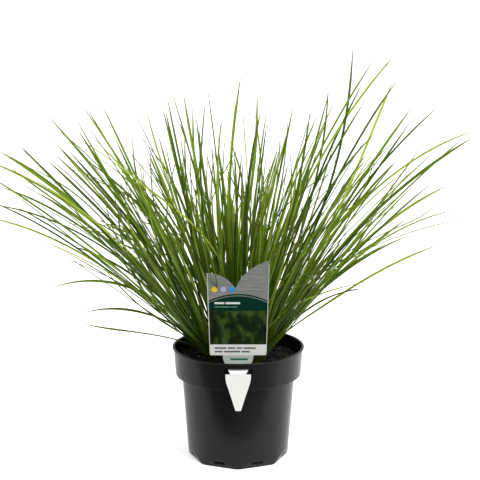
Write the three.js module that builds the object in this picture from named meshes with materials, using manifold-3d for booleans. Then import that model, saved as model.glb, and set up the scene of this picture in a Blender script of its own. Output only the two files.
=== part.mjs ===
// Potted lomandra: a fine-leaved, grass-like clump in a round plastic nursery pot, with its plant label.
// Millimetres, +Z up. The origin is the centre of the pot's base on the floor, and the front is at -Y.

import * as THREE from 'three';
import { mergeVertices } from 'three/addons/utils/BufferGeometryUtils.js';
import Module from 'manifold-3d';

const wasm = await Module();
wasm.setup();

const { degToRad, lerp, smoothstep } = THREE.MathUtils;

// Pot: a standard 140 mm nursery pot, with a collar round its top and a small lip round the rim

const POT_HEIGHT = 120;
const RIM_RADIUS = 70;
const LIP_HEIGHT = 1.6;
const COLLAR_HEIGHT = 30.2;
const COLLAR_TOP_RADIUS = 68.7;
const COLLAR_BOTTOM_RADIUS = 66.6;
const BODY_TOP_RADIUS = 60;
const BASE_RADIUS = 53.2;
const WALL = 1.3;
const BASE_THICKNESS = 1.5;
const EDGE_ROUND = 0.6;
const STEP_ROUND = 1.4;
const POT_SIDES = 40;

// Drainage: slanted flats that cut the bottom corner in low arches, each with a slot

const FLAT_COUNT = 8;
const FLAT_WIDTH = 42;
const FLAT_TOP = 9.5;
const FLAT_FOOT_RADIUS = 49.4;
const SLOT_WIDTH = 12;
const SLOT_HEIGHT = 3.6;
const SLOT_UP_FLAT = 0.6;

// Slit through the collar for the label, at the front under the lip

const SLIT_WIDTH = 29;
const SLIT_BOTTOM = 109.2;
const SLIT_TOP = 113.8;

// Potting mix, and the gap that it and everything else keeps to its neighbour

const SOIL_LEVEL = 106;
const SOIL_LUMP = 1.3;
const SOIL_SIDES = 36;
const GAP = 0.3;

// Label: a card on a stem, with a barbed tongue that hangs outside the pot

const CARD_THICKNESS = 0.6;
const CARD_FOOT = 127.6;
const CARD_FOOT_WIDTH = 58;
const CARD_TOP_WIDTH = 64;
const CARD_LEFT_TOP = 213;
const CARD_RIGHT_TOP = 226;
const LEFT_SHOULDER = [-14, CARD_LEFT_TOP];
const NOTCH = [-2.5, 197];
const RIGHT_SHOULDER = [5, 218];

// Plant: the crown where the tillers stand, and the leaves

const CROWN_RADIUS = 38;
const CROWN_OFFSET = -3;
const CROWN_LEVEL = SOIL_LEVEL + 3;
const ROOT_DEPTH = 9;
const LEAF_WIDTH = 2.8;
const LEAF_RIDGE = 0.85;
const LONGEST_LEAF = 340;

// Colours, as seen

const POT_BLACK = 0x1b1c1c;
const SOIL_BROWN = 0x1a1512;
const LABEL_WHITE = 0xe9ebe8;
const LEAF_GREENS = [0x4f7a2a, 0x5c8a30, 0x446c26];

// Solids and meshes

function solidOf(geometry) {
  const bare = geometry.clone();
  bare.deleteAttribute('normal');
  bare.deleteAttribute('uv');
  const merged = mergeVertices(bare, 1e-4);
  return new wasm.Manifold(new wasm.Mesh({
    numProp: 3,
    vertProperties: new Float32Array(merged.attributes.position.array),
    triVerts: new Uint32Array(merged.index.array),
  }));
}

function geometryOf(solid) {
  const mesh = solid.getMesh();
  const geometry = new THREE.BufferGeometry();
  geometry.setAttribute('position', new THREE.BufferAttribute(new Float32Array(mesh.vertProperties), 3));
  geometry.setIndex(new THREE.BufferAttribute(new Uint32Array(mesh.triVerts), 1));
  geometry.computeVertexNormals();
  return geometry;
}

function namedMesh(name, solid, colour, roughness) {
  const material = new THREE.MeshStandardMaterial({ color: colour, roughness, metalness: 0 });
  const mesh = new THREE.Mesh(geometryOf(solid), material);
  mesh.name = name;
  return mesh;
}

// Revolves an outline of [radius, height] points, given from the bottom of the axis round to its top

function revolved(outline, sides) {
  const points = outline.map(([radius, height]) => new THREE.Vector2(radius, height));
  return new THREE.LatheGeometry(points, sides).rotateX(Math.PI / 2);
}

// Joins rings of points into a closed skin, with the last ring closed off or drawn in to a single point

function loft(rings) {
  const sides = rings[0].length;
  const positions = rings.flat().flatMap((point) => [point.x, point.y, point.z]);
  const index = [];
  for (let k = 0; k + 1 < rings.length; k += 1) {
    const lower = k * sides;
    const upper = lower + sides;
    const pointed = rings[k + 1].length === 1;
    for (let i = 0; i < sides; i += 1) {
      const j = (i + 1) % sides;
      if (pointed) index.push(lower + i, lower + j, upper);
      else index.push(lower + i, lower + j, upper + j, lower + i, upper + j, upper + i);
    }
  }
  const last = (rings.length - 1) * sides;
  for (let i = 1; i + 1 < sides; i += 1) {
    index.push(0, i + 1, i);
    if (rings.at(-1).length > 1) index.push(last, last + i, last + i + 1);
  }
  const geometry = new THREE.BufferGeometry();
  geometry.setAttribute('position', new THREE.Float32BufferAttribute(positions, 3));
  geometry.setIndex(index);
  return geometry;
}

// Seeded random numbers from 0 to 1, the same on every run

function seededRandom(seed) {
  let state = seed >>> 0;
  return () => {
    state = (state + 0x6d2b79f5) >>> 0;
    let mixed = Math.imul(state ^ (state >>> 15), state | 1);
    mixed ^= mixed + Math.imul(mixed ^ (mixed >>> 7), mixed | 61);
    return ((mixed ^ (mixed >>> 14)) >>> 0) / 4294967296;
  };
}

// Nursery pot

const COLLAR_FOOT = POT_HEIGHT - COLLAR_HEIGHT;
const FLAT_RUN = bodyRadius(FLAT_TOP) - FLAT_FOOT_RADIUS;

function bodyRadius(height) {
  return lerp(BASE_RADIUS, BODY_TOP_RADIUS, height / COLLAR_FOOT);
}

function collarRadius(height) {
  return lerp(COLLAR_BOTTOM_RADIUS, COLLAR_TOP_RADIUS, (height - COLLAR_FOOT) / COLLAR_HEIGHT);
}

// Leans a block that stands at the front of the pot's foot along a flat's slope, and turns it to its place

function onFlat(block, angle) {
  block.rotateX(Math.atan2(FLAT_RUN, FLAT_TOP));
  block.translate(0, -FLAT_FOOT_RADIUS, 0);
  return solidOf(block.rotateZ(angle));
}

// What one flat takes away, with its slanted face moved inwards by inset

function flatCut(angle, inset) {
  const size = 60;
  const block = new THREE.BoxGeometry(FLAT_WIDTH + 2 * inset, size, size);
  return onFlat(block.translate(0, inset - size / 2, 0), angle);
}

function slotCut(angle) {
  const block = new THREE.BoxGeometry(SLOT_WIDTH, 8 * WALL, SLOT_HEIGHT);
  return onFlat(block.translate(0, 0, SLOT_UP_FLAT * Math.hypot(FLAT_RUN, FLAT_TOP)), angle);
}

function makePot() {
  const lipFoot = POT_HEIGHT - LIP_HEIGHT;
  const over = 1;
  const outside = [
    [0, 0],
    [BASE_RADIUS, 0],
    [BODY_TOP_RADIUS, COLLAR_FOOT - STEP_ROUND],
    [BODY_TOP_RADIUS + STEP_ROUND, COLLAR_FOOT],
    [COLLAR_BOTTOM_RADIUS - EDGE_ROUND, COLLAR_FOOT],
    [COLLAR_BOTTOM_RADIUS, COLLAR_FOOT + EDGE_ROUND],
    [COLLAR_TOP_RADIUS, lipFoot],
    [RIM_RADIUS - EDGE_ROUND, lipFoot],
    [RIM_RADIUS, lipFoot + EDGE_ROUND],
    [RIM_RADIUS, POT_HEIGHT - EDGE_ROUND],
    [RIM_RADIUS - EDGE_ROUND, POT_HEIGHT],
    [0, POT_HEIGHT],
  ];
  const inside = [
    [0, BASE_THICKNESS],
    [BASE_RADIUS - WALL, BASE_THICKNESS],
    [BODY_TOP_RADIUS - WALL, COLLAR_FOOT],
    [BODY_TOP_RADIUS - WALL + STEP_ROUND, COLLAR_FOOT + WALL],
    [COLLAR_BOTTOM_RADIUS - WALL, COLLAR_FOOT + WALL],
    [COLLAR_TOP_RADIUS - WALL, POT_HEIGHT - EDGE_ROUND],
    [COLLAR_TOP_RADIUS - WALL + EDGE_ROUND, POT_HEIGHT],
    [COLLAR_TOP_RADIUS - WALL + EDGE_ROUND, POT_HEIGHT + over],
    [0, POT_HEIGHT + over],
  ];
  let shell = solidOf(revolved(outside, POT_SIDES));
  let hollow = solidOf(revolved(inside, POT_SIDES));
  const angles = Array.from({ length: FLAT_COUNT }, (_, i) => ((i + 0.5) / FLAT_COUNT) * 2 * Math.PI);
  for (const angle of angles) {
    shell = shell.subtract(flatCut(angle, 0));
    hollow = hollow.subtract(flatCut(angle, WALL));
  }
  let pot = shell.subtract(hollow);
  for (const angle of angles) pot = pot.subtract(slotCut(angle));
  const slit = new THREE.BoxGeometry(SLIT_WIDTH, 8 * WALL, SLIT_TOP - SLIT_BOTTOM);
  slit.translate(0, -COLLAR_TOP_RADIUS, (SLIT_TOP + SLIT_BOTTOM) / 2);
  return namedMesh('pot', pot.subtract(solidOf(slit)), POT_BLACK, 0.35);
}

// What is cut from the card's top: all above two shoulders that meet in a notch

function aboveCard() {
  const clear = CARD_TOP_WIDTH;
  const depth = 40;
  const outline = new THREE.Shape();
  outline.moveTo(-clear, CARD_LEFT_TOP);
  outline.lineTo(-CARD_TOP_WIDTH / 2, CARD_LEFT_TOP);
  outline.quadraticCurveTo(...LEFT_SHOULDER, ...NOTCH);
  outline.quadraticCurveTo(...RIGHT_SHOULDER, CARD_TOP_WIDTH / 2, CARD_RIGHT_TOP);
  outline.lineTo(clear, CARD_RIGHT_TOP + 1);
  outline.lineTo(clear, CARD_RIGHT_TOP + clear);
  outline.lineTo(-clear, CARD_RIGHT_TOP + clear);
  const cut = new THREE.ExtrudeGeometry(outline, { depth, bevelEnabled: false, curveSegments: 6 });
  return solidOf(cut.rotateX(Math.PI / 2).translate(0, -depth, 0));
}

// Plant label: one thin strip. From the tip of its tongue it runs up outside the collar, in through the
// slit, and up behind the rim to the card. Each row is [half width, distance in front of the axis, height]

function makeLabel() {
  const rows = [
    [2.6, 69.2, 70],
    [12.4, 69.1, 100],
    [13.1, 69, 108.2],
    [13.1, 69, 108.9],
    [7.5, 69, 109],
    [8.6, 68.6, 110.2],
    [9.6, 67.4, 111.6],
    [10.2, 66.2, 112.7],
    [10.8, 64.9, 114.4],
    [12.4, 63.6, 117],
    [14.6, 62.8, 121],
    [15.8, 62.5, CARD_FOOT - 0.1],
    [CARD_FOOT_WIDTH / 2 - 1, 62.5, CARD_FOOT],
    [CARD_FOOT_WIDTH / 2, 62.5, CARD_FOOT + 1],
    [lerp(CARD_FOOT_WIDTH, CARD_TOP_WIDTH, 0.5) / 2, 61.9, lerp(CARD_FOOT, CARD_RIGHT_TOP, 0.5)],
    [CARD_TOP_WIDTH / 2, 60.6, CARD_RIGHT_TOP],
  ];
  const rings = rows.map(([half, front, height], i) => {
    const [, frontBelow, heightBelow] = rows[Math.max(i - 1, 0)];
    const [, frontAbove, heightAbove] = rows[Math.min(i + 1, rows.length - 1)];
    const through = new THREE.Vector2(heightAbove - heightBelow, frontAbove - frontBelow);
    through.setLength(CARD_THICKNESS / 2);
    const front1 = -front - through.x;
    const front2 = -front + through.x;
    return [
      new THREE.Vector3(-half, front1, height - through.y),
      new THREE.Vector3(half, front1, height - through.y),
      new THREE.Vector3(half, front2, height + through.y),
      new THREE.Vector3(-half, front2, height + through.y),
    ];
  });
  const strip = solidOf(loft(rings));
  return namedMesh('plant_label', strip.subtract(aboveCard()), LABEL_WHITE, 0.45);
}

// The fan of the clump. A leaf line is named by its lean, 0 upright in the middle and 1 low at the outside,
// and its azimuth. It starts on the crown and is an arc, which leans and bends more the larger its lean.
// Two different lines never meet, so each tiller can own a cell of the fan

const START_LEAN = degToRad(44);
const EXTRA_BEND = degToRad(23);
const BEND_LENGTH = 300;
const FRONT = -Math.PI / 2;
const FRONT_UPRIGHT = 0.45;
const FRONT_ARCH = degToRad(40);
const FRONT_SPREAD = degToRad(55);

// Behind the label the fan leans less towards the front: its leaves stand steeper and arch over the card

function leanScale(azimuth) {
  const off = Math.acos(Math.cos(azimuth - FRONT));
  return 1 - FRONT_UPRIGHT * (1 - smoothstep(off, 0, FRONT_SPREAD));
}

function arcOf(lean, azimuth) {
  const scale = leanScale(azimuth);
  return {
    root: CROWN_RADIUS * lean,
    start: START_LEAN * lean * scale,
    bend: (EXTRA_BEND * Math.max(lean, 0.05) ** 2 + FRONT_ARCH * lean * (1 - scale)) / BEND_LENGTH,
  };
}

function fanPoint(lean, azimuth, along) {
  const { root, start, bend } = arcOf(lean, azimuth);
  const end = start + bend * along;
  const out = root + (Math.cos(start) - Math.cos(end)) / bend;
  const up = (Math.sin(end) - Math.sin(start)) / bend;
  const place = new THREE.Vector3(out * Math.cos(azimuth), out * Math.sin(azimuth), up);
  return place.add(new THREE.Vector3(CROWN_OFFSET, 0, CROWN_LEVEL));
}

// The leaf line that passes through a given point, and how far along it the point is

function lineTo([x, y, z]) {
  const azimuth = Math.atan2(y, x - CROWN_OFFSET);
  const out = Math.hypot(x - CROWN_OFFSET, y);
  let low = 0.05;
  let high = 1.6;
  let length = 0;
  for (let i = 0; i < 30; i += 1) {
    const lean = (low + high) / 2;
    const { root, start, bend } = arcOf(lean, azimuth);
    const chord = Math.hypot(out - root, z - CROWN_LEVEL);
    const half = Math.asin(Math.min(1, (bend * chord) / 2));
    length = (2 * half) / bend;
    if (start + half > Math.atan2(out - root, z - CROWN_LEVEL)) high = lean;
    else low = lean;
  }
  return { lean: (low + high) / 2, azimuth, length };
}

// Tillers stand in three rings, with root the lean where a ring's tillers stand. Each has a cell of the fan
// that its leaves stay in: their leans go from inner to outer, though few pass usual, and in azimuth the
// cells share the circle, a margin clear of each other, with the outer ring open behind the label. Its left
// is fuller than its right by the share in skew: more leaves stand there, and they lean further out

const RINGS = [
  {
    count: 3, leaves: 11, margin: 12, open: 0,
    root: 0.19, inner: 0.1, usual: 0.28, outer: 0.28, skew: 0,
  },
  {
    count: 6, leaves: 13, margin: 3, open: 0,
    root: 0.45, inner: 0.34, usual: 0.56, outer: 0.56, skew: 0,
  },
  {
    count: 11, leaves: 15, margin: 1.4, open: 64,
    root: 0.8, inner: 0.62, usual: 0.9, outer: 1.6, skew: 0.1,
  },
];
const CELL_SEED = 41;
const UNEVEN = 0.3;

function tillerCells() {
  const random = seededRandom(CELL_SEED);
  return RINGS.flatMap((ring) => {
    const margin = degToRad(ring.margin);
    const open = degToRad(ring.open);
    const edges = Array.from({ length: ring.count + 1 }, (_, i) => {
      const uneven = i === 0 || i === ring.count ? 0 : UNEVEN * (random() - 0.5);
      return FRONT + open / 2 + ((i + uneven) / ring.count) * (2 * Math.PI - open);
    });
    return edges.slice(1).map((to, i) => {
      const azimuth = (edges[i] + to) / 2;
      const fullness = 1 - ring.skew * Math.cos(azimuth);
      return {
        ...ring,
        fullness,
        leaves: Math.floor(ring.leaves * fullness + 0.5),
        usual: ring.usual * fullness,
        azimuth,
        from: edges[i] + margin,
        to: to - margin,
      };
    });
  });
}

// Tips of the leaves that stand out of the clump seen from the front: [x, y, height, bow]. A leaf with a bow
// first stands more upright and then arches over, and one with a bow below 0 sags and then turns up

const STANDING_OUT = [
  [-255, 30, 325, 0.1], [-262, -20, 310, 0], [-258, 40, 285, 0.1], [-262, -40, 268, 0.1],
  [-265, 0, 320, 0.1], [-264, 10, 271, 0.15],
  [-225, 0, 333, 0], [-210, 80, 308, 0], [-195, -20, 370, 0], [-175, -75, 343, 0],
  [-165, 30, 350, 0], [-160, -10, 378, 0], [-155, 60, 315, 0], [-140, -10, 380, 0],
  [-128, -40, 325, 0], [-133, 45, 340, 0], [-90, -60, 345, 0], [-88, 75, 340, 0],
  [-77, 0, 373, 0], [-72, -30, 391, 0], [-57, 70, 382, 0], [-42, -50, 372, 0],
  [-20, -80, 347, 0], [-3, 60, 372, 0], [3, 45, 404, 0], [20, 40, 385, 0],
  [22, -80, 380, 0], [57, 0, 377, 0], [68, -50, 382, 0], [84, 0, 393, -0.12],
  [92, -30, 395, 0], [104, 30, 383, 0], [117, 0, 438, -0.1], [130, 20, 399, 0],
  [138, -20, 427, 0], [158, 0, 425, 0.08], [162, -30, 408, 0.08], [165, 40, 335, 0.04],
  [176, -20, 366, 0], [184, 40, 370, 0], [207, 0, 376, 0.06], [238, 0, 347, 0],
  [250, 30, 346, 0.2], [213, -40, 300, 0.1], [176, -10, 260, 0], [184, 20, 236, 0.1],
  [213, 0, 230, 0.05], [-200, -10, 184, 0.45], [-173, 30, 220, 0.1], [-168, 10, 152, 0.28],
  [-165, -20, 150, -0.12], [128, -10, 184, 0.3], [129, -20, 384, 0], [141, -60, 358, 0.15],
  [240, -20, 346, 0.04], [169, 60, 396, 0],
];

// How far a leaf has moved from the middle of its tiller towards its own place in the cell

const SPREAD_LENGTH = 42;

function spread(along) {
  const ratio = (along / SPREAD_LENGTH) ** 2;
  return ratio / (1 + ratio);
}

// One leaf: flat above with a ridge below, sunk in its sheath at the root, slowly turning, and pointed.
// Its line runs from the middle of the cell to middle, and bends away from there to tip. A leaf that
// stands out is seen on its own, and has more rings along it

const ROOT_RING = 11;
const LOW_RING = 85;
const HIGH_RING = 0.62;
const BENT_RING = 45;
const POINT_LENGTH = 26;
const ROOT_WIDTH = 0.5;
const TAPER = 0.45;
const TURN_LENGTH = 200;

function ringLevels(length, standsOut) {
  const last = length - POINT_LENGTH;
  if (!standsOut) return [ROOT_RING, LOW_RING, HIGH_RING * length, last];
  const between = [0, 1 / 3, 2 / 3, 1].map((share) => lerp(LOW_RING, last, share));
  return [ROOT_RING, BENT_RING, ...between];
}

function leafSolid(cell, { middle, tip, length, standsOut, turn, width }) {
  const at = (along) => {
    const own = spread(along) / spread(length);
    const late = (along / length) ** 2;
    return fanPoint(
      lerp(cell.root, lerp(middle.lean, tip.lean, late), own),
      lerp(cell.azimuth, lerp(middle.azimuth, tip.azimuth, late), own),
      along,
    );
  };
  const rings = ringLevels(length, standsOut).map((level, i) => {
    const centre = at(level);
    const tangent = at(level + 2).sub(at(level - 2)).normalize();
    const side = new THREE.Vector3(-Math.sin(middle.azimuth), Math.cos(middle.azimuth), 0);
    side.addScaledVector(tangent, -side.dot(tangent)).normalize();
    side.applyAxisAngle(tangent, (turn * level) / TURN_LENGTH);
    const under = new THREE.Vector3().crossVectors(tangent, side);
    const half = (width / 2) * (i === 0 ? ROOT_WIDTH : 1 - TAPER * (level / length) ** 3);
    return [
      centre.clone().addScaledVector(side, -half),
      centre.clone().addScaledVector(under, -LEAF_RIDGE),
      centre.clone().addScaledVector(side, half),
    ];
  });
  rings.push([at(length)]);
  return solidOf(loft(rings));
}

// Sheath at the foot of a tiller: the folded leaf bases, straight down in the mix and leaning above it

const SHEATH_SIDES = 6;
const SHEATH_LENGTH = 32;
const SHEATH_ACROSS = 4.6;
const SHEATH_DEPTH = 3.3;
const NARROWED = 0.8;

function sheathRing(cell, centre, across, depth) {
  const side = new THREE.Vector3(-Math.sin(cell.azimuth), Math.cos(cell.azimuth), 0);
  const inwards = new THREE.Vector3(-Math.cos(cell.azimuth), -Math.sin(cell.azimuth), 0);
  return Array.from({ length: SHEATH_SIDES }, (_, i) => {
    const turn = (i / SHEATH_SIDES) * 2 * Math.PI;
    return centre.clone()
      .addScaledVector(side, across * Math.cos(turn))
      .addScaledVector(inwards, depth * Math.sin(turn));
  });
}

function sheathSolid(cell) {
  const foot = fanPoint(cell.root, cell.azimuth, 0);
  const below = foot.clone().setZ(SOIL_LEVEL - ROOT_DEPTH);
  const top = fanPoint(cell.root, cell.azimuth, SHEATH_LENGTH);
  return solidOf(loft([
    sheathRing(cell, below, NARROWED * SHEATH_ACROSS, NARROWED * SHEATH_DEPTH),
    sheathRing(cell, foot, SHEATH_ACROSS, SHEATH_DEPTH),
    sheathRing(cell, top, SHEATH_ACROSS, NARROWED * SHEATH_DEPTH),
  ]));
}

// The azimuth within a cell that is the same as the given one, or else the nearer edge of the cell

function nearestTurn(azimuth, cell) {
  const off = Math.atan2(Math.sin(azimuth - cell.azimuth), Math.cos(azimuth - cell.azimuth));
  return Math.min(Math.max(cell.azimuth + off, cell.from), cell.to);
}

// The cell that a leaf line runs in, or the one that it misses least

const LEAN_MATTERS = 3;

function nearestCell({ lean, azimuth }) {
  const miss = (cell) => {
    const turned = Math.acos(Math.cos(azimuth - nearestTurn(azimuth, cell)));
    const raised = Math.max(cell.inner - lean, lean - cell.outer, 0);
    return LEAN_MATTERS * raised + turned;
  };
  return cells.reduce((best, cell) => (miss(cell) < miss(best) ? cell : best));
}

function chosenLeaves(cell) {
  return STANDING_OUT.filter((leaf) => nearestCell(lineTo(leaf)) === cell).map((leaf) => {
    const { lean, azimuth, length } = lineTo(leaf);
    const tip = {
      lean: Math.min(Math.max(lean, cell.inner), cell.outer),
      azimuth: nearestTurn(azimuth, cell),
    };
    const middle = {
      lean: Math.min(Math.max(tip.lean - leaf[3], cell.inner), cell.outer),
      azimuth: tip.azimuth,
    };
    return { middle, tip, length, standsOut: true };
  });
}

// The leaves that fill the clump are longest to the left, then to the right, and shorter in the middle

function fillingLength({ lean, azimuth }, random) {
  const sideways = 0.04 * Math.cos(2 * azimuth) - 0.04 * Math.cos(azimuth);
  const longest = LONGEST_LEAF * (0.8 + 0.12 * Math.min(1, lean) + sideways);
  return longest * (0.48 + 0.52 * random());
}

// A place within reach of the given one, turned back where it would pass the edge of the cell

const STRAY = 0.7;

function strayed(place, low, high, random) {
  const moved = place + STRAY * (high - low) * (random() - 0.5);
  if (moved < low) return 2 * low - moved;
  return moved > high ? 2 * high - moved : moved;
}

// They stand inwards to outwards in turn, each on from the last by the golden share of the cell's width,
// and crowd towards the middle of the cell, which makes each tiller a tuft

const GOLDEN_SHARE = 0.382;
const LOOSE = 0.2;
const CROWDED_INSIDE = 1.3;
const TUFTED = 0.5;

function fillingLeaves(cell, count, random) {
  return Array.from({ length: count }, (_, i) => {
    const outwards = ((i + random()) / count) ** (CROWDED_INSIDE / cell.fullness);
    const even = (((i * GOLDEN_SHARE) % 1) + LOOSE * random()) / (1 + LOOSE);
    const across = 0.5 + (even - 0.5) * Math.abs(2 * even - 1) ** TUFTED;
    const middle = {
      lean: lerp(cell.inner, cell.usual, outwards),
      azimuth: lerp(cell.from, cell.to, across),
    };
    const tip = {
      lean: strayed(middle.lean, cell.inner, cell.usual, random),
      azimuth: strayed(middle.azimuth, cell.from, cell.to, random),
    };
    return { middle, tip, length: fillingLength(tip, random), standsOut: false };
  });
}

// A tiller: its sheath with its leaves fused to it, each a little wider or narrower and turned its own way

const TILLER_SEED = 1000;
const MOST_TURN = 0.9;
const WIDTH_SPREAD = 0.2;

function makeTiller(cell, number) {
  const random = seededRandom(TILLER_SEED + number);
  const chosen = chosenLeaves(cell);
  const leaves = [...chosen, ...fillingLeaves(cell, cell.leaves - chosen.length, random)];
  let tiller = sheathSolid(cell);
  for (const leaf of leaves) {
    const turn = MOST_TURN * (2 * random() - 1);
    const width = LEAF_WIDTH * (1 + WIDTH_SPREAD * (2 * random() - 1));
    tiller = tiller.add(leafSolid(cell, { ...leaf, turn, width }));
  }
  const name = `tiller_${String(number).padStart(2, '0')}`;
  return namedMesh(name, tiller, LEAF_GREENS[number % LEAF_GREENS.length], 0.5);
}

// Potting mix: it fills the pot inside, with a lumpy top and a plain straight hole round each tiller's foot

function soilLump(x, y) {
  const broad = Math.sin(0.11 * x + 0.6) * Math.cos(0.13 * y - 0.4);
  const middle = Math.sin(0.37 * x - 0.21 * y + 1.1) * Math.cos(0.29 * y + 0.17 * x);
  const fine = Math.sin(0.83 * x + 0.31 * y) * Math.sin(0.71 * y - 0.44 * x + 2.0);
  return SOIL_LUMP * (0.5 * broad + 0.6 * middle + 0.5 * fine);
}

function footHole(cell) {
  const foot = fanPoint(cell.root, cell.azimuth, 0);
  const rings = [SOIL_LEVEL - ROOT_DEPTH - GAP, SOIL_LEVEL + 5 * SOIL_LUMP].map((height) => {
    const centre = foot.clone().setZ(height);
    return sheathRing(cell, centre, SHEATH_ACROSS + 2 * GAP, SHEATH_DEPTH + 2 * GAP);
  });
  return solidOf(loft(rings));
}

const SOIL_RINGS = [1, 0.86, 0.7, 0.36, 0];

function makeSoil() {
  const inPot = (radius) => radius - WALL - 2 * GAP;
  const ledge = COLLAR_FOOT + WALL + GAP;
  const outline = [
    [0, BASE_THICKNESS + GAP],
    [FLAT_FOOT_RADIUS - 2 * WALL, BASE_THICKNESS + GAP],
    [inPot(bodyRadius(FLAT_TOP)), FLAT_TOP + 3 * WALL],
    [inPot(bodyRadius(COLLAR_FOOT)), ledge],
    [inPot(collarRadius(ledge)), ledge],
    ...SOIL_RINGS.map((share) => [share * inPot(collarRadius(SOIL_LEVEL)), SOIL_LEVEL]),
  ];
  const geometry = revolved(outline, SOIL_SIDES);
  const places = geometry.attributes.position;
  for (let i = 0; i < places.count; i += 1) {
    if (places.getZ(i) > ledge + GAP) places.setZ(i, SOIL_LEVEL + soilLump(places.getX(i), places.getY(i)));
  }
  let soil = solidOf(geometry);
  for (const cell of cells) soil = soil.subtract(footHole(cell));
  return namedMesh('potting_mix', soil, SOIL_BROWN, 0.95);
}

const cells = tillerCells();
const plant = new THREE.Group();
cells.forEach((cell, i) => plant.add(makeTiller(cell, i + 1)));

const part = new THREE.Group();
part.add(makePot(), makeSoil(), makeLabel(), plant);

export default part;
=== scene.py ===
# Potted lomandra: a clump of fine grass-like leaves in a black nursery pot, with its plant label.
# Metres, +Z up. The origin is the centre of the pot's base on the floor, and the label is at -Y.

import math

import bmesh
import bpy
import numpy as np
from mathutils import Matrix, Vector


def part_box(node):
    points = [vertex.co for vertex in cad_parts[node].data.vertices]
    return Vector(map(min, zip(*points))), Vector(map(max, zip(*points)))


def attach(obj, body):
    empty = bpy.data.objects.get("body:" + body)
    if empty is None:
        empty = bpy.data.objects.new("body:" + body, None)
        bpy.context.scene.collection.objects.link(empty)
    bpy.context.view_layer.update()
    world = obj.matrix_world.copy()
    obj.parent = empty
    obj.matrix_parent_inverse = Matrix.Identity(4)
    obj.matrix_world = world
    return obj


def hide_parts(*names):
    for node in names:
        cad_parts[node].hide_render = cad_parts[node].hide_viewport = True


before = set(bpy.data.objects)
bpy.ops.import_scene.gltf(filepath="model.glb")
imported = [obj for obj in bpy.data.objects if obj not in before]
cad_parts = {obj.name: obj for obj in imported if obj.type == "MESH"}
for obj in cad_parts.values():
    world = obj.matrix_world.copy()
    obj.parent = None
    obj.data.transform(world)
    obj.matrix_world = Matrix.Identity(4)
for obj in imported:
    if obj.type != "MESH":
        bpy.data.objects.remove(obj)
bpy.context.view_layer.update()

# Camera: a long lens in front of the label and above the pot, tilted down to take in the whole clump.
# Its place, tilt and lens make the rim and the base of the pot the ovals that they are in the photograph.

CAMERA_PLACE = (0.00188, -1.52087, 0.56030)
CAMERA_TILT = math.radians(90 - 12.093)
CAMERA_LENS = 111.33

lens = bpy.data.cameras.new("camera")
lens.sensor_width = 36
lens.lens = CAMERA_LENS
lens.clip_end = 200
camera = bpy.data.objects.new("camera", lens)
camera.location = CAMERA_PLACE
camera.rotation_euler = (CAMERA_TILT, 0, 0)
bpy.context.scene.collection.objects.link(camera)
bpy.context.scene.camera = camera

# Nursery pot: one thin-walled moulding of black polypropylene with a satin skin. A collar and a lip
# stiffen its top, eight slanted flats with slots drain its bottom corner, and a slit under the lip takes
# the label. Its turns are in degrees, and the sizes of all pieces are in millimetres.

MM = 0.001
pot_corner = np.array(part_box("pot")[1]) / MM
RIM = pot_corner[0]
HEIGHT = pot_corner[2]
LIP_FOOT = HEIGHT - 1.6
LIP_INSIDE = HEIGHT - 2
COLLAR_FOOT = HEIGHT - 30.2
COLLAR_TOP_RADIUS = RIM - 1.3
COLLAR_BOTTOM_RADIUS = RIM - 3.4
BODY_TOP_RADIUS = RIM - 10
BASE_RADIUS = RIM - 16.8
WALL = 1.3
FLOOR_THICKNESS = 1.5
POT_COLUMNS = 320
POT_ROW = 1.2
FLATS = 8
FLAT_TOP = 9.5
FLAT_FOOT = 49.4
FLAT_FOLD = 0.4
SLOT_HALF_TURN = 6.75
SLOT_HEIGHTS = (4.1, 7.4)
SLOT_RISE = 0.8
SLIT_HALF_TURN = 12.375
SLIT_HEIGHTS = (109.2, 113.8)
FRONT = -math.pi / 2


class Value:
    """A number or colour that varies over a surface. Its sums and products add Math nodes."""

    def __init__(self, nodes, socket):
        self.nodes = nodes
        self.socket = socket

    def maths(self, operation, *terms):
        """A Math node on the terms, which are values or plain numbers."""
        return self.nodes.node("Math", {"operation": operation}, dict(enumerate(terms)))

    def __add__(self, other):
        return self.maths("ADD", self, other)

    def __sub__(self, other):
        return self.maths("SUBTRACT", self, other)

    def __rsub__(self, other):
        return self.maths("SUBTRACT", other, self)

    def __mul__(self, other):
        return self.maths("MULTIPLY", self, other)

    def clamped(self, low, high):
        """0 below low, 1 above high, and even between them."""
        return self.nodes.node("MapRange", {}, {"Value": self, "From Min": low, "From Max": high})

    __radd__ = __add__
    __rmul__ = __mul__


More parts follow.
